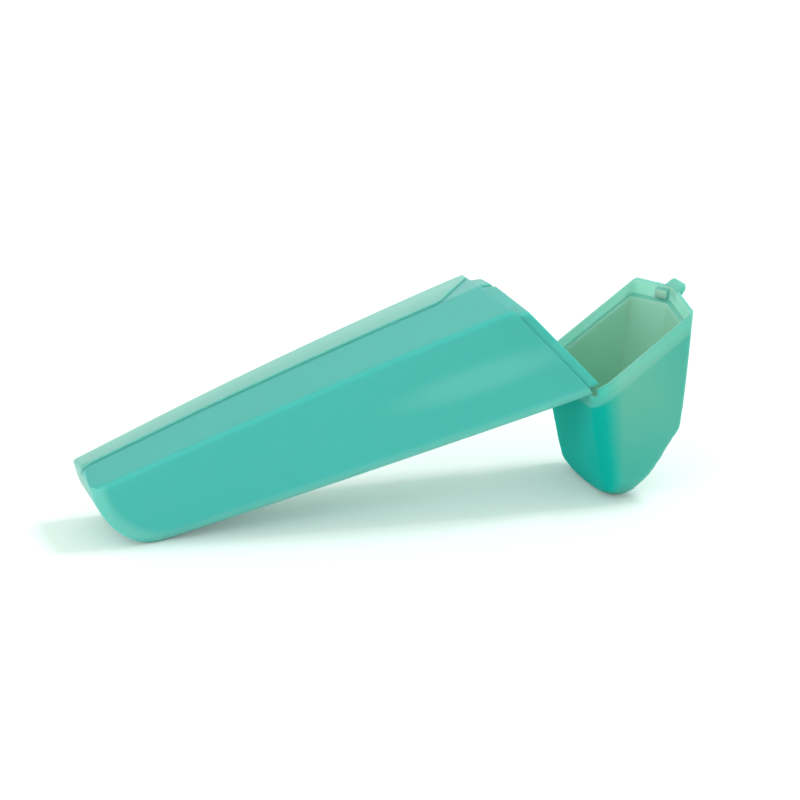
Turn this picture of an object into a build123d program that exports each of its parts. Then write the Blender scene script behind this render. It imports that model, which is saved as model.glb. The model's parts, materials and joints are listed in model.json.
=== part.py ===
from build123d import *
import math
import os

# Travel toothbrush holder: a long tapered case with a hinged end cap, standing
# as an A-frame on its small end and on the tip of the opened cap. Millimetres,
# +Z up. Origin: on the floor, in the mirror plane, midway between the ends.
#
# Everything is drawn with the case lying shut along X, hinge corner at the
# origin and small end towards -X. It is then stood up: the case is pitched
# about the hinge pin, and the cap is swung open about it.

# Case body
body_length = 169.0           # hinge corner to the end face, along the flat underside
mouth_half_width = 26.0
end_half_width = 16.5
mouth_eave = 39.8             # side wall height at the hinge corner
end_eave = 26.0               # side wall height at the small end
mouth_rise = 3.4              # roof ridge above the side walls
end_rise = 2.7
taper_power = 1.4             # above 1 the outline bows outwards a little
corner_radius = 7.0           # long bottom edges
eave_radius = 1.6             # crease between side wall and roof
ridge_radius = 6.0
heel_radius = 23.0            # round heel that the case stands on
brow_radius = 3.0             # top of the end face
end_corner_radius = 5.0       # end face to side wall, seen from above
wall = 1.6

# Mouth
mouth_lean = 28.5             # mouth plane, from upright, top edge further back
rim_gap = 0.3                 # running gap between cap and body
rim_step = 1.05               # step down from the skin to the collar
collar_reach = 3.4            # collar ahead of the mouth plane
collar_wall = 1.3
collar_play = 0.1             # extra side clearance, for the swing
collar_floor = 3.6            # collar stops this far above the underside
collar_ease = 1.0             # its lower corners are rounder by this, for the swing
sleeve_depth = 7.0            # collar carried on inside the skin
notch_width = 8.0             # locating notch in the top of the collar
notch_side = 5.0              # its middle, on the far side of the ridge

# Back cover
seam_stop = 38.0              # ridge seam ends this far behind the hinge corner
seam_turn = 21.6              # its slanted end reaches the far side here
seam_side = 20.0              # and this far from the mirror plane
cover_proud = 0.5
corner_hole = 0.8             # radius of the relief hole at the seam's corner
seam_gap = 0.15
lip_reach = 2.6               # joint lip of the shell, under the cover
lip_root = 2.0                # its hold inside the shell
lip_wall = 0.9

# Cap
cap_length = 40.4
cap_tip_half_width = 24.1
cap_wall = 2.0
roof_fall = 0.224             # cap roof drops this much per millimetre
brow_start = 1.0              # the curved nose begins here, ahead of the hinge
brow_x = 31.5                 # point on the curved nose
brow_z = 19.8
tip_radius = 3.0
nose_corner_radius = 13.0

# Hinge
pin_radius = 0.8
pin_clearance = 0.05
knuckle_radius = 1.5
knuckle_count = 5
hinge_width = 36.0
knuckle_gap = 0.3
relief_gap = 1.1              # both walls end this far outside the knuckles
corner_relief = 0.5           # cap corners beside the hinge are cut this far above the pin
leaf_length = 6.0
bevel_length = 4.0            # the underside is bevelled off beside the opened cap
bevel_rise = 0.6

# Latch
tab_width = 11.0
tab_height = 2.7              # thumb catch above the ridge of the cap
tab_wall = 1.5
tab_lead = 4.5                # its root along the cap roof
tab_hold = 1.0                # how deep the thumb catch is sunk into the roof
tab_corner_radius = 2.0
tab_edge_radius = 0.5
lug_height = 1.1
lug_start = 0.6               # lug ahead of the mouth plane
lug_reach = 2.8

# Standing pose
cap_open = 97.3               # degrees from shut

far = 300.0
lean = math.tan(math.radians(mouth_lean))
rim_wall = rim_step - rim_gap
pin_height = knuckle_radius   # the knuckles touch the plane of the underside
relief_radius = knuckle_radius + relief_gap


def share(x):
    """How far the taper has gone at x: 0 at the hinge corner, 1 at the end."""
    return (max(-x, 0.0) / body_length) ** taper_power


def body_eave(x):
    return mouth_eave - (mouth_eave - end_eave) * share(x)


def body_rise(x):
    return mouth_rise - (mouth_rise - end_rise) * share(x)


rim_x = -lean * (mouth_eave + mouth_rise / 2)      # mouth plane at roof level


def cap_eave(x):
    return body_eave(rim_x) - roof_fall * (x - rim_x)


def body_half_width(x):
    return mouth_half_width - (mouth_half_width - end_half_width) * share(x)


def cap_half_width(x):
    if x < 0:
        return body_half_width(x)
    return mouth_half_width - (mouth_half_width - cap_tip_half_width) * (x / cap_length) ** taper_power


def house(x, half_width, floor, eave, rise, corner):
    """House-shaped section across the case at one place along X."""
    points = [(-half_width, floor), (half_width, floor), (half_width, eave)]
    points += [(0, eave + rise), (-half_width, eave)]
    face = make_face(Polyline(*points, close=True))
    face = fillet([v for v in face.vertices() if abs(v.Y - floor) < 1e-6], corner)
    face = fillet([v for v in face.vertices() if abs(abs(v.X) - half_width) + abs(v.Y - eave) < 1e-6], eave_radius)
    face = fillet([v for v in face.vertices() if abs(v.Y - eave - rise) < 1e-6], ridge_radius)
    return Plane(origin=(x, 0, 0), x_dir=(0, 1, 0), z_dir=(1, 0, 0)) * face


def side_prism(edges):
    """Side profile drawn in XZ, carried through along Y."""
    return extrude(Plane.XZ * make_face(edges), far, both=True)


def plan_prism(edges):
    """Outline drawn in XY, carried through along Z."""
    return extrude(make_face(edges), far, both=True)


def end_plan(end, half_width, radius, toward):
    """Plan outline with two rounded corners at the end face, open towards the mouth."""
    root = end + toward * radius
    spread = half_width + 0.25 * far
    low = half_width - radius
    corner = radius * toward
    return [
        Line((end, -low), (end, low)),
        RadiusArc((end, low), (root, half_width), corner),
        Line((root, half_width), (toward * far, spread)),
        Line((toward * far, spread), (toward * far, -spread)),
        Line((toward * far, -spread), (root, -half_width)),
        RadiusArc((root, -half_width), (end, -low), corner),
    ]


def body_form(inset, proud=0.0):
    """Body outline as one solid, drawn in by inset; it runs on past the mouth.

    Sides and roof may stand proud; the underside, heel and end face don't."""
    sections = []
    for part in (1.04, 0.75, 0.45, 0.2, 0.0, -0.07):
        x = -part * body_length
        eave = body_eave(x) - inset + proud
        half_width = body_half_width(x) - inset + proud
        sections.append(house(x, half_width, inset, eave, body_rise(x), corner_radius - inset))
    form = loft(sections)
    end = -body_length + inset
    heel = (-body_length + heel_radius, inset)
    top = end_eave + end_rise - inset + proud
    brow = brow_radius - inset / 2
    form = form & side_prism([
        Line((far, inset), heel),
        RadiusArc(heel, (end, heel_radius), heel_radius - inset),
        Line((end, heel_radius), (end, top - brow)),
        RadiusArc((end, top - brow), (end + brow, top), brow),
        Line((end + brow, top), (far, top + 0.5 * far)),
        Line((far, top + 0.5 * far), (far, inset)),
    ])
    side = body_half_width(end + end_corner_radius) - inset + proud
    return form & plan_prism(end_plan(end, side + 0.05, end_corner_radius - inset / 2, 1))


def cap_form(inset, ease=0.0):
    """Cap outline as one solid, drawn in by inset; it runs on past the mouth."""
    sections = []
    for x in (rim_x - 8, 0.5 * rim_x, 0, 0.5 * cap_length, cap_length + 4):
        corner = corner_radius - inset + ease
        sections.append(house(x, cap_half_width(x) - inset, inset, cap_eave(x) - inset, mouth_rise, corner))
    form = loft(sections)
    tip = (cap_length - inset, tip_radius)
    start = (brow_start, cap_eave(brow_start) + mouth_rise - inset)
    sole = (cap_length - tip_radius, inset)
    nose = Spline(start, (brow_x - 0.7 * inset, brow_z - 0.7 * inset), tip, tangents=[(1, -roof_fall), (0, -1)])
    rise_back = (-far, start[1] + roof_fall * (far + brow_start))
    form = form & side_prism([
        Line(rise_back, start),
        nose,
        RadiusArc(tip, sole, tip_radius - inset),
        Line(sole, (-far, inset)),
        Line((-far, inset), rise_back),
    ])
    side = cap_half_width(cap_length - nose_corner_radius) - inset
    return form & plan_prism(end_plan(cap_length - inset, side + 0.05, nose_corner_radius - inset / 2, -1))


def behind(reach):
    """Everything behind the mouth plane moved forward by reach."""
    block = Pos(-far, 0, 0) * Box(2 * far, 2 * far, 2 * far)
    return Pos(reach / math.cos(math.radians(mouth_lean)), 0, 0) * (Rot(0, -mouth_lean, 0) * block)


def slab(low, high):
    """Everything between two places along Y."""
    return Pos(0, (low + high) / 2, 0) * Box(2 * far, high - low, 2 * far)


def above(height):
    return Pos(0, 0, far + height) * Box(2 * far, 2 * far, 2 * far)


def cover_region(gap):
    """Plan area that belongs to the back cover, kept gap away from the shell."""
    return plan_prism(Polyline(
        (-far, gap), (-seam_stop - gap, gap), (-seam_turn - gap, seam_side + gap),
        (far, seam_side + gap), (far, far), (-far, far), close=True))


def lip_region():
    """Plan strips along the seam where the shell's joint lip runs."""
    along = math.hypot(seam_stop - seam_turn, seam_side)
    turn = math.degrees(math.atan2(seam_side, seam_stop - seam_turn))
    width = lip_reach + lip_root
    shift = (lip_reach - lip_root) / 2
    straight = Pos(-seam_stop - far / 2, shift, 0) * Box(far, width, 2 * far)
    slant = Pos(-seam_stop, 0, 0) * (Rot(0, 0, turn) * (Pos(along / 2, shift, 0) * Box(along, width, 2 * far)))
    return straight + slant


def hinge_bevel():
    """Wedge under the end of the case, where the opened cap hangs down."""
    return side_prism(Polyline((-bevel_length, 0), (0, bevel_rise), (0, -1), (-bevel_length, -1), close=True))


def knuckles(first, bore, toward, leaf_wall):
    """Every second knuckle of the hinge with its leaf, bored for the pin."""
    pitch = hinge_width / knuckle_count
    solids = []
    holes = []
    for i in range(first, knuckle_count, 2):
        y = -hinge_width / 2 + (i + 0.5) * pitch
        length = pitch - knuckle_gap
        barrel = Pos(0, y, pin_height) * (Rot(90, 0, 0) * Cylinder(knuckle_radius, length))
        leaf = Pos(toward * leaf_length / 2, y, leaf_wall / 2) * Box(leaf_length, length, leaf_wall)
        solids.append(barrel + (leaf - hinge_bevel()))
        holes.append(Pos(0, y, pin_height) * (Rot(90, 0, 0) * Cylinder(bore, pitch)))
    return solids, holes


def hinge_slab():
    """The width that the knuckles take."""
    return slab(-hinge_width / 2 - knuckle_gap, hinge_width / 2 + knuckle_gap)


def with_hinge(piece, first, bore, toward, leaf_wall):
    """Clears the wall round the knuckles, then adds its own knuckles and bores them."""
    solids, holes = knuckles(first, bore, toward, leaf_wall)
    relief = Pos(0, 0, pin_height) * (Rot(90, 0, 0) * Cylinder(relief_radius, far))
    piece = piece - (relief & hinge_slab())
    for solid in solids:
        piece = piece + solid
    for hole in holes:
        piece = piece - hole
    return piece


def notch_slab(gap):
    """Width of the locating notch, or of the lug that enters it with a gap."""
    return slab(notch_side - notch_width / 2 + gap, notch_side + notch_width / 2 - gap) & above(mouth_eave / 2)


def make_body_shell():
    """Near half of the case, with the mouth collar, joint lip and outer hinge knuckles."""
    inner = body_form(wall)
    skin = (body_form(0) & behind(-rim_gap / 2)) - inner - cover_region(0)
    sleeve = ((inner - body_form(wall + collar_wall)) & behind(-rim_gap / 2)) - behind(-sleeve_depth)
    edge = rim_step + collar_play
    collar = (cap_form(edge, collar_ease) - cap_form(edge + collar_wall)) & behind(collar_reach)
    collar = (collar - behind(-rim_gap / 2)) & above(collar_floor)
    collar = collar - notch_slab(0)
    lip = (inner - body_form(wall + lip_wall)) & lip_region()
    lip = lip & behind(-sleeve_depth)
    return with_hinge(skin + sleeve + collar + lip - hinge_bevel(), 0, pin_radius, -1, wall)


def make_back_cover():
    """Far half of the skin, standing slightly proud, seated on the lip and sleeve."""
    skin = (body_form(0, cover_proud) - body_form(wall)) & behind(-rim_gap / 2)
    hole = Pos(-seam_stop - seam_gap, seam_gap, mouth_eave) * Cylinder(corner_hole, mouth_eave)
    relief = Pos(0, 0, pin_height) * (Rot(90, 0, 0) * Cylinder(relief_radius, far))
    return (skin & cover_region(seam_gap)) - hole - (relief & hinge_slab()) - hinge_bevel()


def make_tab():
    """Thumb catch standing up from the ridge of the cap, flush with its rim."""
    ridge = cap_eave(rim_x) + mouth_rise
    top = ridge + tab_height
    back = -lean * top
    root = back + tab_lead + tab_wall
    sunk = ridge - tab_hold
    profile = make_face(Polyline(
        (back, top), (back + tab_wall, top), (root, cap_eave(root) + mouth_rise - tab_hold),
        (-lean * sunk, sunk), close=True))
    profile = fillet([v for v in profile.vertices() if v.Y > ridge], tab_edge_radius)
    plate = extrude(Plane.XZ * profile, tab_width / 2, both=True)
    outline = Rot(0, 90, 0) * extrude(RectangleRounded(2 * top, tab_width, tab_corner_radius), far, both=True)
    return plate & outline


def corner_clearance():
    """Corners beside the hinge, where the body turns up against the swung cap."""
    reach = pin_height + corner_relief
    return (Pos(reach - far, 0, reach - far) * Box(2 * far, 2 * far, 2 * far)) - hinge_slab()


def make_cap():
    """Hinged end cap: rebated rim over the collar, thumb catch, locating lug, inner knuckles."""
    rebate = cap_form(rim_wall) & behind(collar_reach + rim_gap)
    shell = cap_form(0) - cap_form(cap_wall) - rebate
    lug = (cap_form(rim_wall - 0.2) - cap_form(rim_wall + lug_height)) & notch_slab(rim_gap)
    lug = (lug & behind(lug_reach)) - behind(lug_start)
    tab = make_tab() - cap_form(rim_wall)
    shell = (shell + lug + tab) - behind(rim_gap / 2) - corner_clearance()
    return with_hinge(shell, 1, pin_radius + pin_clearance, 1, cap_wall)


def make_pin():
    pin = Pos(0, 0, pin_height) * (Rot(90, 0, 0) * Cylinder(pin_radius, hinge_width - knuckle_gap))
    return chamfer(pin.edges(), 0.15)


def stand():
    """Height of the pin and pitch of the case when heel and cap tip touch the floor."""
    reach = body_length - heel_radius
    pitch = 10.0
    for _ in range(40):
        fall = math.radians(cap_open - pitch)
        height = tip_radius + (cap_length - tip_radius) * math.sin(fall) - (tip_radius - pin_height) * math.cos(fall)
        tilt = math.radians(pitch)
        pitch = math.degrees(math.asin((height - heel_radius + (heel_radius - pin_height) * math.cos(tilt)) / reach))
    return height, pitch


def build():
    """All pieces in the standing pose, centred between the two ends."""
    height, pitch = stand()
    pieces = {
        "body_shell": (make_body_shell(), -pitch),
        "back_cover": (make_back_cover(), -pitch),
        "hinge_pin": (make_pin(), -pitch),
        "end_cap": (make_cap(), cap_open - pitch),
    }
    standing = {}
    for name, (piece, turn) in pieces.items():
        standing[name] = Pos(0, 0, height) * (Rot(0, turn, 0) * (Pos(0, 0, -pin_height) * piece))
    boxes = [piece.bounding_box() for piece in standing.values()]
    middle = (min(box.min.X for box in boxes) + max(box.max.X for box in boxes)) / 2
    return {name: Pos(-middle, 0, 0) * piece for name, piece in standing.items()}


os.makedirs("parts", exist_ok=True)
for name, piece in build().items():
    export_step(piece, os.path.join("parts", name + ".step"))
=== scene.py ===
# %% [markdown]
# This file is a lesson in giving a finished CAD model its looks. The object is a travel toothbrush holder:
# a long tapered case of milky teal plastic with a hinged end cap, standing like a letter A. The solids come
# from the CAD model and stay where they are, and only the cap's tip is reworked, in a copy. A frame could be
# rebuilt by hand in Blender, but loading it keeps every wall, gap and hinge where the maker put it.

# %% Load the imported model
import bmesh
import bpy
import json
import math
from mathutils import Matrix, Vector


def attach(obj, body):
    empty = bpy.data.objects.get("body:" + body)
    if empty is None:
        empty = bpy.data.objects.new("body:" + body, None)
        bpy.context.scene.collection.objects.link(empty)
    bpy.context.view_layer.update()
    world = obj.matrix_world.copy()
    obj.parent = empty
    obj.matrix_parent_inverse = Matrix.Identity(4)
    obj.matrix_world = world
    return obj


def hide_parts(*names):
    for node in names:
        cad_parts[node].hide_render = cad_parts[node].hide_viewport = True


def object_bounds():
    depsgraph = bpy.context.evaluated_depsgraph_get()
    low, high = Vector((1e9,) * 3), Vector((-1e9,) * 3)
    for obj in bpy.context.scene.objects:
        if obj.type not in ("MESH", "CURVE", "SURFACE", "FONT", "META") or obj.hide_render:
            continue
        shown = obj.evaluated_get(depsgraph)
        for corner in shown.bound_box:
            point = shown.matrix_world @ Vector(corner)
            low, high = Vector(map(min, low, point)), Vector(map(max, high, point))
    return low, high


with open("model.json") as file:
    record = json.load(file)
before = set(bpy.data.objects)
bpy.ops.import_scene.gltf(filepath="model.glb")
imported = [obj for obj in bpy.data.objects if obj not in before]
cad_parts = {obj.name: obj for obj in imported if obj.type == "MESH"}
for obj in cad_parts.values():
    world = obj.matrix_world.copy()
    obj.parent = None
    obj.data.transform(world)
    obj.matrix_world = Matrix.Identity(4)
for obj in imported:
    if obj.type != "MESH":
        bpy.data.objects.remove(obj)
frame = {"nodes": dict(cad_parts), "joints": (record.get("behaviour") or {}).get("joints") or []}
cad_low, cad_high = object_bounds()
scene = bpy.context.scene
print("CAD box in millimetres:", [round(1000 * v, 1) for v in cad_high - cad_low])

# %% [markdown]
# Several finishes below need to know where things are on the case: how far a point lies from the mouth, or
# from the small end. The hinge tells all of that. Its pin is where case and cap meet, the case rises
# towards it by a small pitch, and the cap has swung open by the hinge's full range.

# %% Directions of the case and of the opened cap
CASE_PITCH = math.radians(14.94)
MOUTH_LEAN = math.radians(28.5)
SIDEWAYS = Vector((0, 1, 0))
hinge = frame["joints"][0]
pin = Vector(hinge["pos_m"])
open_angle = math.radians(hinge["range_deg"][1])


def turned(along, up, turn):
    """A direction drawn on the shut, level holder, turned about the cross axis."""
    return Vector((along * math.cos(turn) - up * math.sin(turn),
                   0,
                   along * math.sin(turn) + up * math.cos(turn)))


def case_direction(along, up):
    """Where a direction of the level case points now that the case stands."""
    return turned(along, up, CASE_PITCH)


def cap_direction(along, up):
    """The same for the cap, which has also swung open about the pin."""
    return turned(along, up, CASE_PITCH - open_angle)


case_along, case_up = case_direction(1, 0), case_direction(0, 1)
cap_along, cap_up = cap_direction(1, 0), cap_direction(0, 1)
rim_facing = cap_direction(math.cos(MOUTH_LEAN), math.sin(MOUTH_LEAN))
print("Pin at", [round(1000 * v, 1) for v in pin], "mm")
print("The cap's rim faces", [round(v, 2) for v in rim_facing])

# %% [markdown]
# The camera stands where the picture was taken from: a little to the left of the object and above it, far
# enough away that the case hardly narrows with distance. A long lens gives that flat, calm view. The
# camera is aimed by a direction worked out from two angles, which is easier to adjust than a rotation.

# %% Camera
CAMERA_TURN = math.radians(17.63)
CAMERA_HEIGHT = math.radians(16.54)
CAMERA_DISTANCE = 0.880
CAMERA_AIM = Vector((0.0038, 0.0, 0.0360))
looking = Vector((math.sin(CAMERA_TURN) * math.cos(CAMERA_HEIGHT),
                  math.cos(CAMERA_TURN) * math.cos(CAMERA_HEIGHT),
                  -math.sin(CAMERA_HEIGHT)))
camera_data = bpy.data.cameras.new("camera")
camera_data.lens = 118.1
camera_data.sensor_width = 36.0
camera = bpy.data.objects.new("camera", camera_data)
camera.location = CAMERA_AIM - looking * CAMERA_DISTANCE
camera.rotation_mode = "QUATERNION"
camera.rotation_quaternion = looking.to_track_quat("-Z", "Y")
scene.collection.objects.link(camera)
scene.camera = camera
print("Camera at", [round(1000 * v) for v in camera.location], "mm")

# %% [markdown]
# A node material is a small machine of boxes and wires. A few helpers keep the wiring readable: one adds a
# box, and one fills its sockets, each with a plain value or with a wire from another box. Writing them
# first keeps every material below short enough to read as a recipe.

# %% Node helpers


def add(tree, kind, **settings):
    """Adds a node of one kind and sets its own properties."""
    node = tree.nodes.new(kind)
    for name, value in settings.items():
        setattr(node, name, value)
    return node


def feed(node, socket, value):
    """Wires a socket to another one, or sets it to a plain value."""
    if isinstance(value, bpy.types.NodeSocket):
        node.id_data.links.new(value, socket)
    else:
        socket.default_value = value


def fill(node, **values):
    """Feeds sockets by name, with an underscore for each space."""
    for name, value in values.items():
        feed(node, node.inputs[name.replace("_", " ")], value)


print("Helpers ready:", add.__name__, feed.__name__, fill.__name__)

# %% [markdown]
# Most boxes do arithmetic, on numbers, on vectors or on colours. These helpers write such a box as one short
# call and hand on the socket with its result, so a formula in a material reads almost like one on paper.

# %% Arithmetic in nodes


def numbers(tree, operation, *values, **settings):
    """A Math node on sockets or plain numbers."""
    node = add(tree, "ShaderNodeMath", operation=operation, **settings)
    for socket, value in zip(node.inputs, values):
        feed(node, socket, value)
    return node.outputs["Value"]


def times(tree, first, second):
    return numbers(tree, "MULTIPLY", first, second)


def larger(tree, first, second):
    return numbers(tree, "MAXIMUM", first, second)


def vectors(tree, operation, *values):
    """A Vector Math node on sockets or vectors."""
    node = add(tree, "ShaderNodeVectorMath", operation=operation)
    for socket, value in zip(node.inputs, values):
        feed(node, socket, value)
    gives_number = operation in ("DOT_PRODUCT", "LENGTH")
    return node.outputs["Value" if gives_number else "Vector"]


def ranged(tree, value, curve="LINEAR", **limits):
    """A number moved from one range to another: in a straight line, or with soft ends."""
    node = add(tree, "ShaderNodeMapRange", interpolation_type=curve)
    fill(node, Value=value, **limits)
    return node.outputs["Result"]


def mixed(tree, share, first, second, kind="RGBA"):
    """Two colours or numbers mixed, all of the first at 0 and all of the second at 1."""
    node = add(tree, "ShaderNodeMix", data_type=kind)
    fill(node, Factor=share, A=first, B=second)
    return node.outputs["Result"]


print("Arithmetic ready: numbers, vectors, ranges and mixes")

# %% [markdown]
# A rule that several finishes share is worth a node group: one box with named sockets, built once and placed
# in each material with its own values. The first helper opens a new group, and the second one places a group
# that gives a mask, which is a number from 0 to 1 at each point of the surface.

# %% Group helpers
FLOAT, COLOR, VECTOR = "NodeSocketFloat", "NodeSocketColor", "NodeSocketVector"


def new_group(title, inputs, outputs):
    """Opens a group. Gives its tree, the sockets it is given, and the node that takes what it puts out."""
    tree = bpy.data.node_groups.new(title, "ShaderNodeTree")
    for name, kind, value in inputs:
        socket = tree.interface.new_socket(name, in_out="INPUT", socket_type=kind)
        socket.default_value = value
    for name, kind in outputs:
        tree.interface.new_socket(name, in_out="OUTPUT", socket_type=kind)
    return tree, add(tree, "NodeGroupInput").outputs, add(tree, "NodeGroupOutput")


def mask_from(tree, group, **values):
    """Places a mask group in a material and hands on its mask."""
    node = add(tree, "ShaderNodeGroup", node_tree=group)
    fill(node, **values)
    return node.outputs["Mask"]


print("Group helpers ready")

# %% [markdown]
# Plastic looks deeper in colour where there is more of it along the line of sight, and paler where the wall
# is thin, and the same deeper and paler colours also carry painted shade and painted light below. All of
# these are told by one measure: how far a point lies from a plane. This group gives a soft mask that is 0 on
# one side of a plane and 1 on the other. It could be painted by hand as a texture, but a formula stays sharp
# at any size and follows the part if it changes.

# %% Group: soft step across a plane
step_group, given, gives = new_group(
    "plane_step",
    [("Point", VECTOR, (0, 0, 0)), ("Through", VECTOR, (0, 0, 0)), ("Facing", VECTOR, (0, 0, 1)),
     ("Start", FLOAT, 0.0), ("End", FLOAT, 0.01)],
    [("Mask", FLOAT)])
offset = vectors(step_group, "SUBTRACT", given["Point"], given["Through"])
distance = vectors(step_group, "DOT_PRODUCT", offset, given["Facing"])
fill(gives, Mask=ranged(step_group, distance, "SMOOTHSTEP", From_Min=given["Start"], From_Max=given["End"]))


def plane_mask(tree, place, facing, start, end):
    """From 0 to 1 between two distances from the pin, along one direction."""
    return mask_from(tree, step_group, Point=place.outputs["Object"], Through=pin, Facing=facing,
                     Start=start, End=end)


print("Group", step_group.name, "is ready")

# %% [markdown]
# A moulded wall is never perfectly even. The dye drifts along the way the melt flowed, so it shows faint
# long clouds, and the polished mould leaves a very fine ripple that breaks up reflections. One group makes
# both from noise stretched along the case. Real streaks would also come from a simulation of the melt, but
# two noises are enough at this scale.

# %% Group: moulded plastic
FLOW_STRETCH = (14.0, 55.0, 40.0)
RIPPLE_SCALE = 900.0
SCUFF = 0.08
mould_group, given, gives = new_group(
    "moulded_wall",
    [("Point", VECTOR, (0, 0, 0)), ("Plain", COLOR, (0.05, 0.45, 0.4, 1)),
     ("Deep", COLOR, (0.0, 0.35, 0.3, 1)), ("Thin", COLOR, (0.25, 0.6, 0.5, 1)), ("Depth", FLOAT, 0.0),
     ("Thinness", FLOAT, 0.0), ("Cloud", FLOAT, 0.15), ("Gloss Roughness", FLOAT, 0.25)],
    [("Color", COLOR), ("Roughness", FLOAT), ("Height", FLOAT)])
stretch = add(mould_group, "ShaderNodeMapping")
fill(stretch, Vector=given["Point"], Scale=FLOW_STRETCH)
flow = add(mould_group, "ShaderNodeTexNoise", noise_dimensions="3D")
fill(flow, Vector=stretch.outputs["Vector"], Scale=1.0, Detail=3.0, Roughness=0.55)
drift = times(mould_group, flow.outputs["Fac"], given["Cloud"])
dye = numbers(mould_group, "ADD", drift, given["Depth"], use_clamp=True)
deepened = mixed(mould_group, dye, given["Plain"], given["Deep"])
ripple = add(mould_group, "ShaderNodeTexNoise", noise_dimensions="3D")
fill(ripple, Vector=given["Point"], Scale=RIPPLE_SCALE, Detail=2.0, Roughness=0.5)
scuff = ranged(mould_group, flow.outputs["Fac"], To_Min=-SCUFF, To_Max=SCUFF)
fill(gives,
     Color=mixed(mould_group, given["Thinness"], deepened, given["Thin"]),
     Roughness=numbers(mould_group, "ADD", scuff, given["Gloss Roughness"], use_clamp=True),
     Height=ripple.outputs["Fac"])
print("Group", mould_group.name, "is ready")

# %% [markdown]
# The inside of a hollow part is lit by what comes through its walls, so its faces get painted light:
# a paler, milkier colour than the outer ones. A face looks inwards when its normal points back towards the
# middle of the hollow, and the sign of one dot product tells that for every face at once, with no list of
# faces to keep up to date.

# %% Group: faces that look inwards
INWARD_START, INWARD_FULL = 0.001, 0.004
inside_group, given, gives = new_group(
    "inward_faces",
    [("Point", VECTOR, (0, 0, 0)), ("Normal", VECTOR, (0, 0, 1)), ("Middle", VECTOR, (0, 0, 0))],
    [("Mask", FLOAT)])
inwards = vectors(inside_group, "SUBTRACT", given["Middle"], given["Point"])
agreement = vectors(inside_group, "DOT_PRODUCT", inwards, given["Normal"])
fill(gives, Mask=ranged(inside_group, agreement, "SMOOTHSTEP", From_Min=INWARD_START, From_Max=INWARD_FULL))


def inside_mask(tree, place, middle):
    return mask_from(tree, inside_group, Point=place.outputs["Object"], Normal=place.outputs["Normal"],
                     Middle=middle)


print("Group", inside_group.name, "is ready")

# %% [markdown]
# Some effects belong to faces that look one way: the roof, which gets light from above, or the round small
# end. The next group compares a face's normal with a direction. Both signs can count, so that the left and
# the right side of the case are treated alike.

# %% Group: faces that look one way
look_group, given, gives = new_group(
    "looks_toward",
    [("Normal", VECTOR, (0, 0, 1)), ("Direction", VECTOR, (0, 0, 1)), ("Start", FLOAT, 0.0),
     ("End", FLOAT, 1.0), ("Either Way", FLOAT, 0.0)],
    [("Mask", FLOAT)])
likeness = vectors(look_group, "DOT_PRODUCT", given["Normal"], given["Direction"])
unsigned = numbers(look_group, "ABSOLUTE", likeness)
choice = mixed(look_group, given["Either Way"], likeness, unsigned, kind="FLOAT")
fill(gives, Mask=ranged(look_group, choice, "SMOOTHSTEP", From_Min=given["Start"], From_Max=given["End"]))


def look_mask(tree, place, direction, start, end, either_way=0.0):
    """From 0 to 1 as a face turns towards a direction. Start and end are cosines."""
    return mask_from(tree, look_group, Normal=place.outputs["Normal"], Direction=direction, Start=start,
                     End=end, Either_Way=either_way)


print("Group", look_group.name, "is ready")

# %% [markdown]
# Light that collects behind a milky wall shows as a soft pale streak, and here that streak is painted light
# in the colour. This group draws a streak as an ellipse with blurred edges, from its middle, its two
# directions and its two half widths. Its first lines are a helper, because the next group measures in the
# same flat way.

# %% Group: soft streak
STREAK_EDGE, STREAK_FULL = 1.3, 0.3


def flat_reach(tree, sockets, *directions):
    """How far Point lies from Middle along two directions, each reworked by one operation."""
    from_middle = vectors(tree, "SUBTRACT", sockets["Point"], sockets["Middle"])
    pair = add(tree, "ShaderNodeCombineXYZ")
    for axis, (direction, operation, value) in zip("XY", directions):
        part = vectors(tree, "DOT_PRODUCT", from_middle, sockets[direction])
        feed(pair, pair.inputs[axis], numbers(tree, operation, part, value))
    return vectors(tree, "LENGTH", pair.outputs["Vector"])


streak_group, given, gives = new_group(
    "painted_light_streak",
    [("Point", VECTOR, (0, 0, 0)), ("Middle", VECTOR, (0, 0, 0)), ("Along", VECTOR, (1, 0, 0)),
     ("Up", VECTOR, (0, 0, 1)), ("Half Length", FLOAT, 0.03), ("Half Height", FLOAT, 0.005)],
    [("Mask", FLOAT)])
reach = flat_reach(streak_group, given, ("Along", "DIVIDE", given["Half Length"]),
                   ("Up", "DIVIDE", given["Half Height"]))
fill(gives, Mask=ranged(streak_group, reach, "SMOOTHSTEP", From_Min=STREAK_EDGE, From_Max=STREAK_FULL))
print("Group", streak_group.name, "is ready")

# %% [markdown]
# The small end of the case is a quarter circle seen from the side, and along its outline, where the wall is
# seen edge on, a highlight is painted into the colour. This group measures how near a point lies to that
# round outline: only the parts of the offset that lead away from the case count, so the same rule covers
# the arc and the straight edge above it.

# %% Group: strip along the round end
ROUND_END_MIDDLE = pin + case_direction(-0.146, 0.0215)
ROOF_EDGE, ROOF_CLEAR = 0.8, 0.5
end_group, given, gives = new_group(
    "round_end",
    [("Point", VECTOR, (0, 0, 0)), ("Middle", VECTOR, (0, 0, 0)), ("Outward", VECTOR, (-1, 0, 0)),
     ("Down", VECTOR, (0, 0, -1)), ("Start", FLOAT, 0.017), ("End", FLOAT, 0.021)],
    [("Mask", FLOAT)])
reach = flat_reach(end_group, given, ("Outward", "MAXIMUM", 0.0), ("Down", "MAXIMUM", 0.0))
fill(gives, Mask=ranged(end_group, reach, "SMOOTHSTEP", From_Min=given["Start"], From_Max=given["End"]))


def small_end_mask(tree, place):
    """The strip along the round small end, but not on the roof."""
    strip = mask_from(tree, end_group, Point=place.outputs["Object"], Middle=ROUND_END_MIDDLE,
                      Outward=-case_along, Down=-case_up)
    below_roof = look_mask(tree, place, case_up, ROOF_EDGE, ROOF_CLEAR)
    return times(tree, strip, below_roof)


print("Group", end_group.name, "is ready")

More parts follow.
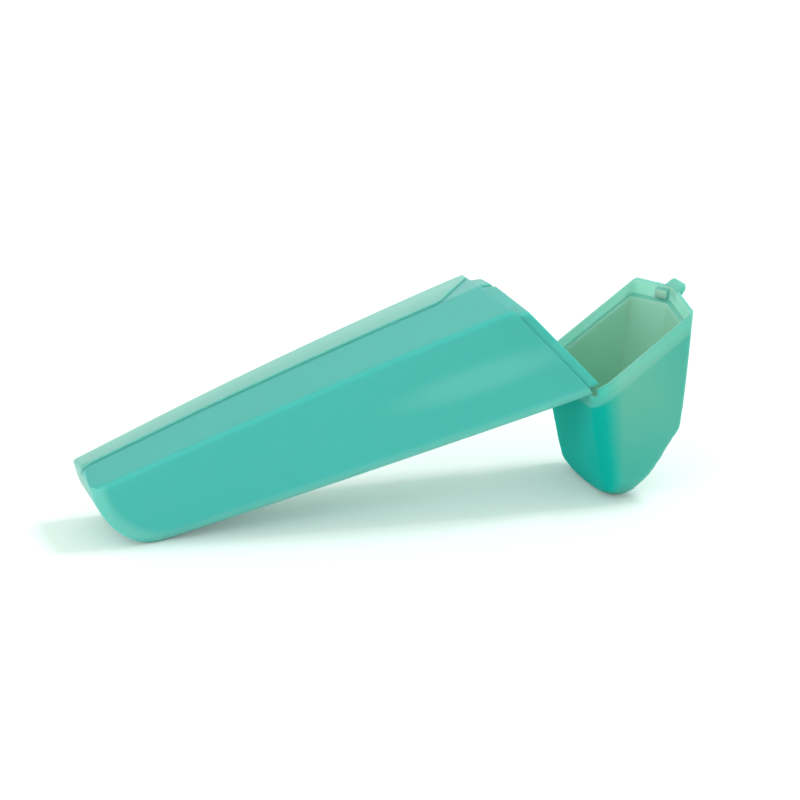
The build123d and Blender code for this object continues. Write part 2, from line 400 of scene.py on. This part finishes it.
# %% [markdown]
# The finish itself is one shader. Light sinks a few millimetres into milky plastic and comes out tinted, also
# on the far side of a thin wall, which is what subsurface scattering does. Clear glass would show the
# inside too sharply, and plain paint would look dead. Where a wall turns away from the eye, more plastic
# lies in the line of sight, so the colour deepens there, and soft edges catch the light as moulded ones do.

# %% Plastic material maker
MILK_DEPTH = 0.004
MILK_SPREAD = (0.5, 1.0, 0.9)
SHEEN = 0.3
CLOUD = 0.15
GLOSS = 0.33
EDGE_SOFTNESS = 0.0025
OUTLINE_START, OUTLINE_DEPTH = 0.6, 0.7


def plastic(title, masks, plain, deep_and_painted_shade, thin_and_painted_light):
    """A milky plastic. masks gives: deeper with painted shade, paler with painted light, sheen or None."""
    material = bpy.data.materials.new(title)
    material.use_nodes = True
    tree = material.node_tree
    place = add(tree, "ShaderNodeTexCoord")
    depth_and_painted_shade, thinness_and_painted_light, sheen = masks(tree, place)
    turned_away = add(tree, "ShaderNodeLayerWeight")
    fill(turned_away, Blend=0.5)
    outline = ranged(tree, turned_away.outputs["Facing"], From_Min=OUTLINE_START, To_Max=OUTLINE_DEPTH)
    wall = add(tree, "ShaderNodeGroup", node_tree=mould_group)
    # Depth also carries painted shade, and Thinness painted light, from the masks of each part.
    fill(wall, Point=place.outputs["Object"], Plain=(*plain, 1), Deep=(*deep_and_painted_shade, 1), Thin=(*thin_and_painted_light, 1),
         Depth=larger(tree, outline, depth_and_painted_shade), Thinness=thinness_and_painted_light, Cloud=CLOUD, Gloss_Roughness=GLOSS)
    softened = add(tree, "ShaderNodeBevel", samples=4)
    fill(softened, Radius=EDGE_SOFTNESS)
    bump = add(tree, "ShaderNodeBump")
    fill(bump, Strength=0.04, Distance=0.0004, Normal=softened.outputs["Normal"],
         Height=wall.outputs["Height"])
    shader = tree.nodes["Principled BSDF"]
    fill(shader, Base_Color=wall.outputs["Color"], Roughness=wall.outputs["Roughness"],
         Normal=bump.outputs["Normal"], IOR=1.49, Specular_IOR_Level=SHEEN, Subsurface_Weight=0.85,
         Subsurface_Radius=MILK_SPREAD, Subsurface_Scale=MILK_DEPTH)
    if sheen:
        fill(shader, Specular_IOR_Level=sheen)
    print("Material", title, "has", len(tree.nodes), "nodes")
    return material


# %% [markdown]
# The case is the deepest teal. Its roof gets painted shade, a slightly deeper colour than the sides, so that
# the light from above doesn't wash it out, and the colour also deepens towards the mouth. The round small
# end gets a painted highlight along its outline, and a streak of painted light runs along each side near
# the mouth, where light that falls in through the opening collects. The inner faces get painted light
# too. All of that could be painted on a texture, but masks worked out from the hinge follow the case if its
# size changes.

# %% Case plastic
ROOF_START, ROOF_FULL, ROOF_PAINTED_SHADE = 0.6, 0.95, 0.75
MOUTH_REACH, MOUTH_DEPTH = 0.09, 0.25
CASE_HOLLOW, CASE_INSIDE_PAINTED_LIGHT = pin + case_direction(-0.06, 0.02), 0.6
STREAK_MIDDLE, STREAK_PAINTED_LIGHT = pin + case_direction(-0.037, 0.019), 0.2
STREAK_HALF_LENGTH, STREAK_HALF_HEIGHT = 0.032, 0.0055
CASE_END_PAINTED_HIGHLIGHT = 0.4


def case_masks(tree, place):
    roof = look_mask(tree, place, case_up, ROOF_START, ROOF_FULL)
    near_mouth = plane_mask(tree, place, case_along, -MOUTH_REACH, 0.0)
    # Painted shade on the roof, and a deeper colour towards the mouth.
    deep_and_painted_shade = larger(tree, times(tree, roof, ROOF_PAINTED_SHADE), times(tree, near_mouth, MOUTH_DEPTH))
    # A streak of painted light along each side near the mouth.
    streak = mask_from(tree, streak_group, Point=place.outputs["Object"], Middle=STREAK_MIDDLE,
                       Along=case_along, Up=case_up, Half_Length=STREAK_HALF_LENGTH,
                       Half_Height=STREAK_HALF_HEIGHT)
    # Painted highlight along the small end, together with the painted streak of light.
    pale = larger(tree, times(tree, small_end_mask(tree, place), CASE_END_PAINTED_HIGHLIGHT),
                  times(tree, streak, STREAK_PAINTED_LIGHT))
    # Painted light on the inner faces.
    milky = times(tree, inside_mask(tree, place, CASE_HOLLOW), CASE_INSIDE_PAINTED_LIGHT)
    return deep_and_painted_shade, larger(tree, pale, milky), None


case_plastic = plastic("case_plastic", case_masks, plain=(0.068, 0.485, 0.45), deep_and_painted_shade=(0.07, 0.40, 0.365),
                       thin_and_painted_light=(0.3, 0.68, 0.59))

# %% [markdown]
# The back cover is the far strip of the skin, a piece of its own in the same plastic. It is a little paler
# than the case, partly a paler tint of its own and partly painted light for the light that comes through it
# from behind. Its outer side gets a painted reflection, palest at the edge, its roof gets painted shade and
# its small end a painted highlight, as on the case. It could wear the case's own finish, but then the seam
# along the roof would hardly show.

# %% Cover plastic
OUTER_START, OUTER_FULL, OUTER_PAINTED_REFLECTION = 0.004, 0.018, 0.35
COVER_ROOF_PAINTED_SHADE, COVER_END_PAINTED_HIGHLIGHT = 0.5, 0.3


def cover_masks(tree, place):
    # Painted shade on the roof, painted reflection on the outer side, painted highlight on the small end.
    roof = look_mask(tree, place, case_up, ROOF_START, ROOF_FULL)
    outer = plane_mask(tree, place, SIDEWAYS, OUTER_START, OUTER_FULL)
    pale = larger(tree, times(tree, outer, OUTER_PAINTED_REFLECTION),
                  times(tree, small_end_mask(tree, place), COVER_END_PAINTED_HIGHLIGHT))
    return times(tree, roof, COVER_ROOF_PAINTED_SHADE), pale, None


# The plain colour is partly painted light from behind.
cover_plastic = plastic("cover_plastic", cover_masks, plain=(0.14, 0.50, 0.43), deep_and_painted_shade=(0.10, 0.42, 0.36),
                        thin_and_painted_light=(0.34, 0.66, 0.58))

# %% [markdown]
# The cap's own plastic is greener than the case's, and its colour is made paler as painted light for the
# light that comes in from its open top. It gets deeper towards its tip, and its sole gets painted shade for
# the shade under the case, deepest along its two bottom corners, where the wall turns. Its inner faces get
# painted light. Its rim is rebated to slip over the collar of the case, so a pale band runs all round below
# the edge. Colours stored in the mesh would need many points in the flat walls for such soft bands, and the
# masks need none.

# %% Cap plastic
RIM_BAND, BAND_BLUR, BAND_PALENESS = 0.0046, 0.0006, 0.28
CAP_HOLLOW = pin + cap_direction(0.01, 0.018)
SOLE_START, SIDE_FULL, FLAT_SOLE_PAINTED_SHADE = 0.011, 0.6, 0.8
TIP_FADE_START, TIP_FADE_FULL = -0.01, 0.045
NOSE_FADE_START, NOSE_FADE_FULL = 0.005, 0.05
FADE_DEPTH = 0.6


def cap_masks(tree, place):
    sole = plane_mask(tree, place, cap_up, SOLE_START, 0.0)
    side = look_mask(tree, place, SIDEWAYS, 0.0, SIDE_FULL, either_way=1.0)
    # Painted shade on the sole, deepest in its two bottom corners, for the shade under the case.
    corner = times(tree, sole, ranged(tree, side, To_Min=FLAT_SOLE_PAINTED_SHADE))
    tip = plane_mask(tree, place, cap_along, TIP_FADE_START, TIP_FADE_FULL)
    nose = plane_mask(tree, place, cap_up, NOSE_FADE_START, NOSE_FADE_FULL)
    faded = larger(tree, times(tree, tip, FADE_DEPTH), times(tree, nose, FADE_DEPTH))
    band = plane_mask(tree, place, rim_facing, RIM_BAND + BAND_BLUR, RIM_BAND - BAND_BLUR)
    # The rim band is a thinner wall, and the inner faces get painted light.
    pale = larger(tree, times(tree, band, BAND_PALENESS), inside_mask(tree, place, CAP_HOLLOW))
    dulled = ranged(tree, sole, To_Min=SHEEN, To_Max=0.0)
    return larger(tree, corner, faded), pale, dulled


# The plain colour is made paler as painted light from the open top; its greener tint is the cap's own.
cap_plastic = plastic("cap_plastic", cap_masks, plain=(0.15, 0.47, 0.375), deep_and_painted_shade=(0.005, 0.41, 0.36),
                      thin_and_painted_light=(0.37, 0.62, 0.51))

# %% [markdown]
# The tip of the real cap is softer than the CAD solid: sole, sides and end run into each other in one round
# corner. Rim, hinge and tab are right as they are, so the shown cap is a copy of the CAD mesh in which only
# the tip is reworked. First its flat walls are cut into small faces, because a wall with no points in it
# can't bend. A voxel remesh would do that too, but it would blur the hinge.

# %% Cut the tip of the cap into small faces
TIP_START, TIP_END = 0.010, 0.041
SOLE_SIDE, ROOF_SIDE = -0.002, 0.045
HALF_WIDTH = 0.026
CUT_STEP = 0.0018
SAME_POINT = 1e-6
ON_PLANE = 1e-7
cap_mesh = frame["nodes"]["end_cap"].data.copy()
cap_mesh.name = "rounded_cap"
if "custom_normal" in cap_mesh.attributes:
    cap_mesh.attributes.remove(cap_mesh.attributes["custom_normal"])
form = bmesh.new()
form.from_mesh(cap_mesh)
bmesh.ops.remove_doubles(form, verts=form.verts, dist=SAME_POINT)


def along_cap(point):
    return (point - pin).dot(cap_along)


def cut(pieces, direction, place):
    """Cuts some of the mesh along a plane and gives back what it was cut into."""
    done = bmesh.ops.bisect_plane(form, geom=pieces, plane_co=pin + direction * place, plane_no=direction,
                                  dist=ON_PLANE)
    return done["geom"]


cut(form.verts[:] + form.edges[:] + form.faces[:], cap_along, TIP_START)
tip_pieces = [face for face in form.faces if along_cap(face.calc_center_median()) > TIP_START]
tip_edges = dict.fromkeys(edge for face in tip_pieces for edge in face.edges)
tip_corners = dict.fromkeys(vert for face in tip_pieces for vert in face.verts)
tip_pieces += [*tip_edges, *tip_corners]
for direction, low, high in ((cap_along, TIP_START, TIP_END),
                             (cap_up, SOLE_SIDE, ROOF_SIDE),
                             (SIDEWAYS, -HALF_WIDTH, HALF_WIDTH)):
    for number in range(1, int((high - low) / CUT_STEP)):
        tip_pieces = cut(tip_pieces, direction, low + number * CUT_STEP)
bmesh.ops.dissolve_degenerate(form, edges=form.edges[:], dist=SAME_POINT)
print("The cap now has", len(form.faces), "faces")

# %% [markdown]
# Smoothing takes the edge off every crease: each point moves halfway towards the middle of its neighbours.
# It starts a little further down with each round, so the tip gets the most of it and the walls above keep
# their shape without a visible border.

# %% Smooth the tip
SMOOTHING_ROUNDS = 64
SMOOTHING_STEP = 0.0001
HALFWAY = 0.5
ROUND_START = 0.012
for number in range(SMOOTHING_ROUNDS):
    start = ROUND_START + number * SMOOTHING_STEP
    soft = [vert for vert in form.verts if along_cap(vert.co) > start]
    bmesh.ops.smooth_vert(form, verts=soft, factor=HALFWAY, use_axis_x=True, use_axis_y=True, use_axis_z=True)
print("Smoothed", SMOOTHING_ROUNDS, "times, the last time", len(soft), "points")

# %% [markdown]
# Smoothing alone leaves the corner between sole and sides too square. So each point of the tip also moves
# towards a middle inside it, by a rule that turns a square corner into a round one: the distance to the
# middle, measured as in a rounded box, is divided by the plain distance. Last, the tip is drawn down until
# it stands on the floor again.

# %% Round the corner of the tip
ROUND_FULL = 0.034
MIDDLE_ALONG, MIDDLE_SIDE, MIDDLE_UP = 0.0264, 0.0115, 0.0115
ROUNDNESS = 4
shares = {}


def ease(value):
    """From 0 to 1 with soft ends."""
    value = min(max(value, 0.0), 1.0)
    return value * value * (3 - 2 * value)


for vert in form.verts:
    along = along_cap(vert.co)
    share = ease((along - ROUND_START) / (ROUND_FULL - ROUND_START))
    if share == 0:
        continue
    shares[vert] = share
    to_end = max(along - MIDDLE_ALONG, 0.0)
    to_side = max(abs(vert.co.y) - MIDDLE_SIDE, 0.0)
    to_sole = max(MIDDLE_UP - (vert.co - pin).dot(cap_up), 0.0)
    outward = math.hypot(to_end, to_side)
    plain_reach = math.hypot(outward, to_sole)
    if plain_reach == 0:
        continue
    box_reach = (outward ** ROUNDNESS + to_sole ** ROUNDNESS) ** (1 / ROUNDNESS)
    shift = (box_reach / plain_reach - 1) * share
    side = math.copysign(to_side * shift, vert.co.y) * SIDEWAYS
    vert.co += cap_along * (to_end * shift) + side - cap_up * (to_sole * shift)
lifted = min(vert.co.z for vert in form.verts) - cad_low.z
for vert, share in shares.items():
    vert.co.z -= lifted * share
print("The rounded tip was", round(1000 * lifted, 2), "mm off the floor and is drawn down by that")

# %% [markdown]
# The reworked mesh becomes a piece of its own. It rides on the cap's body, so it swings with the hinge, and
# it stands for the CAD node, which is then hidden. Faces that meet at a small angle are shaded as one
# curve, and sharper edges, such as those of the rim and the hinge, stay crisp.

# %% The rounded cap
CREASE_ANGLE = math.radians(25)
form.to_mesh(cap_mesh)
form.free()
cap_mesh.shade_smooth()
cap_mesh.set_sharp_from_angle(angle=CREASE_ANGLE)
rounded_cap = bpy.data.objects.new("rounded_cap", cap_mesh)
scene.collection.objects.link(rounded_cap)
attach(rounded_cap, "cap")
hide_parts("end_cap")
print(rounded_cap.name, "rides on the cap")

# %% [markdown]
# The hinge pin is plain drawn steel wire. Fine lines from drawing run along it, so the roughness changes
# quickly round the pin and slowly along it. A bump would show such lines too, but on a wire this thin, which
# is hidden in its knuckles but for the ends, a stretched noise in the roughness is enough.

# %% Pin steel
DRAWN_STRETCH = (6000.0, 60.0, 6000.0)
DRAWN_SMOOTH, DRAWN_ROUGH = 0.22, 0.42
pin_steel = bpy.data.materials.new("pin_steel")
pin_steel.use_nodes = True
tree = pin_steel.node_tree
along_pin = add(tree, "ShaderNodeMapping")
fill(along_pin, Vector=add(tree, "ShaderNodeTexCoord").outputs["Object"], Scale=DRAWN_STRETCH)
drawn = add(tree, "ShaderNodeTexNoise")
fill(drawn, Vector=along_pin.outputs["Vector"], Scale=1.0, Detail=2.0)
lines = ranged(tree, drawn.outputs["Fac"], To_Min=DRAWN_SMOOTH, To_Max=DRAWN_ROUGH)
fill(tree.nodes["Principled BSDF"], Metallic=1.0, Base_Color=(0.62, 0.63, 0.64, 1), Roughness=lines)
print("Material", pin_steel.name, "has", len(tree.nodes), "nodes")

# %% [markdown]
# Every piece takes its new finish in the material slots that it came with. Each face already points at a
# slot, so it is enough to fill that slot, and no face has to be picked by hand.

# %% Put the finishes on


def dress(piece, material):
    for slot in piece.material_slots:
        slot.material = material
    print(piece.name, "wears", material.name, "on", len(piece.data.polygons), "faces")


dress(frame["nodes"]["body_shell"], case_plastic)
dress(frame["nodes"]["back_cover"], cover_plastic)
dress(frame["nodes"]["end_cap"], cap_plastic)
dress(frame["nodes"]["hinge_pin"], pin_steel)
dress(rounded_cap, cap_plastic)

# %% [markdown]
# The floor is a wide white sheet. It has to look white in the picture and still catch the soft green shadow
# that light makes after passing through the plastic. So the floor is almost white under plain light, and for
# the camera alone it also glows a little, more with the distance, as a sheet that curves up behind would.
# Stronger lamps would whiten it too, but they would wash out the plastic. From below the floor is clear to
# the camera, so the underside of the object can be looked at.

# %% Floor
FLOOR_SIZE = 8.0
FLOOR_GAP = 0.0001
GLOW_START, GLOW_FULL = 0.25, 1.2
GLOW_NEAR, GLOW_FAR = 0.12, 0.7
bpy.ops.mesh.primitive_plane_add(size=FLOOR_SIZE, location=(0, 0, cad_low.z - FLOOR_GAP))
floor = bpy.context.object
floor.name = "floor"
white = bpy.data.materials.new("white_floor")
white.use_nodes = True
tree = white.node_tree
sheet = tree.nodes["Principled BSDF"]
fill(sheet, Base_Color=(0.9, 0.9, 0.9, 1), Roughness=0.8, Specular_IOR_Level=0.2)
seen = add(tree, "ShaderNodeLightPath").outputs["Is Camera Ray"]
away = vectors(tree, "LENGTH", add(tree, "ShaderNodeTexCoord").outputs["Object"])
glow_here = ranged(tree, away, "SMOOTHSTEP", From_Min=GLOW_START, From_Max=GLOW_FULL,
                   To_Min=GLOW_NEAR, To_Max=GLOW_FAR)
glow = add(tree, "ShaderNodeEmission")
fill(glow, Strength=times(tree, seen, glow_here))
glowing = add(tree, "ShaderNodeAddShader")
feed(glowing, glowing.inputs[0], sheet.outputs["BSDF"])
feed(glowing, glowing.inputs[1], glow.outputs["Emission"])
underneath = add(tree, "ShaderNodeNewGeometry").outputs["Backfacing"]
clear_below = add(tree, "ShaderNodeMixShader")
fill(clear_below, Fac=times(tree, seen, underneath))
feed(clear_below, clear_below.inputs[1], glowing.outputs["Shader"])
feed(clear_below, clear_below.inputs[2], add(tree, "ShaderNodeBsdfTransparent").outputs["BSDF"])
fill(tree.nodes["Material Output"], Surface=clear_below.outputs["Shader"])
floor.data.materials.append(white)
print("Floor", FLOOR_SIZE, "m wide, just under z =", round(1000 * cad_low.z, 2), "mm")

# %% [markdown]
# Studio light is mostly size: the larger the lamp, the softer the shadow. One lamp high above and to the
# right gives the pale roof and the shadow under the case, and a broad one beside the camera fills the near
# side. A sun lamp would be simpler, but its shadow would be too hard for a studio. Both lamps are a little
# pink, for a reason that the next step gives.

# %% Lamps
LAMP_AIM = Vector((0, 0, 0.04))
LAMP_COLOR = (1.0, 0.95, 0.97)


def softbox(name, stand, size, watts):
    """A square lamp of one size, turned towards the object."""
    data = bpy.data.lights.new(name, "AREA")
    data.shape = "SQUARE"
    data.size = size
    data.energy = watts
    data.color = LAMP_COLOR
    lamp = bpy.data.objects.new(name, data)
    lamp.location = stand
    lamp.rotation_mode = "QUATERNION"
    lamp.rotation_quaternion = (LAMP_AIM - Vector(stand)).to_track_quat("-Z", "Y")
    scene.collection.objects.link(lamp)
    print(name, "is", size, "m wide and gives", watts, "W")


softbox("top_lamp", stand=(0.85, 0.05, 1.45), size=0.40, watts=10.5)
softbox("front_lamp", stand=(-0.9, -1.0, 0.7), size=0.9, watts=6.0)

# %% [markdown]
# The world does the rest. Daylight that has passed through this plastic reaches the shadows green, and a few
# bounces of light don't copy that well, so the world's own light is a little green, and both lamps a little
# pink, which together give white. The camera and the reflections see a plain white world. A picture of a
# real studio could light the object instead, but one plain colour makes it look right in any room.

# %% World
WORLD_LIGHT = 0.84
WORLD_COLOR = (0.80, 1.0, 0.90, 1)
world = bpy.data.worlds.new("studio")
world.use_nodes = True
scene.world = world
tree = world.node_tree
path = add(tree, "ShaderNodeLightPath")
shown = larger(tree, path.outputs["Is Camera Ray"], path.outputs["Is Glossy Ray"])
fill(tree.nodes["Background"],
     Strength=ranged(tree, shown, To_Min=WORLD_LIGHT),
     Color=mixed(tree, shown, WORLD_COLOR, (1, 1, 1, 1)))
scene.view_settings.view_transform = "Standard"
print("World", world.name, "lights the object at", WORLD_LIGHT, "and is seen as white")
